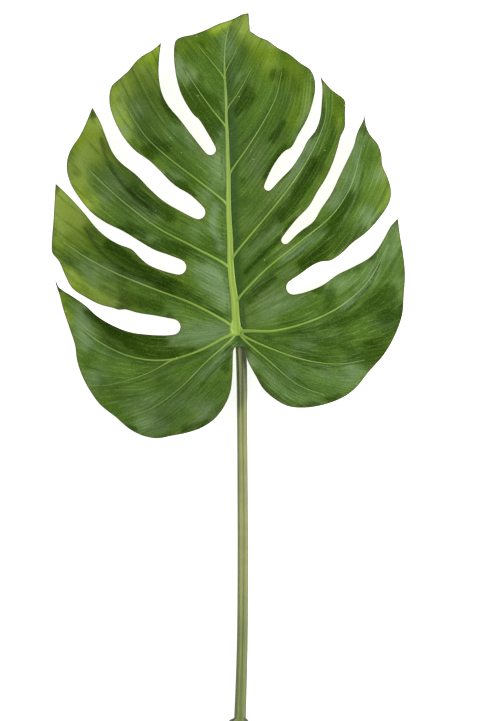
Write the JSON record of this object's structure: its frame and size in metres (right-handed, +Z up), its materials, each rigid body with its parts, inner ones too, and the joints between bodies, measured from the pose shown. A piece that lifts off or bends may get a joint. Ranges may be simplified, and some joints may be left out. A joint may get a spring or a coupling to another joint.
{
  "type": "monstera leaf, sold as split-leaf philodendron leaf",
  "caption": "Large heart-shaped leaf with deep side slits, pale midrib and side veins, on a long bare stalk with a flared cut base, lying face up.",
  "frame": {"origin": "on the surface that the leaf lies on, under the middle of its outer box", "axes": "+Y along the leaf from the stalk's cut base towards the apex, +X to the right seen from above, +Z up out of the leaf's upper face"},
  "size_m": [0.3542, 0.7204, 0.0372],
  "materials": {
    "blade_green": "satin, leathery, dark green with yellow-green lobe ends",
    "rib_green": "satin, pale yellow-green",
    "stalk_green": "satin, olive green with fine lengthwise streaks"
  },
  "bodies": {
    "root": {"blade": "blade_green", "ribs": "rib_green", "stalk": "stalk_green"}
  },
  "joints": []
}
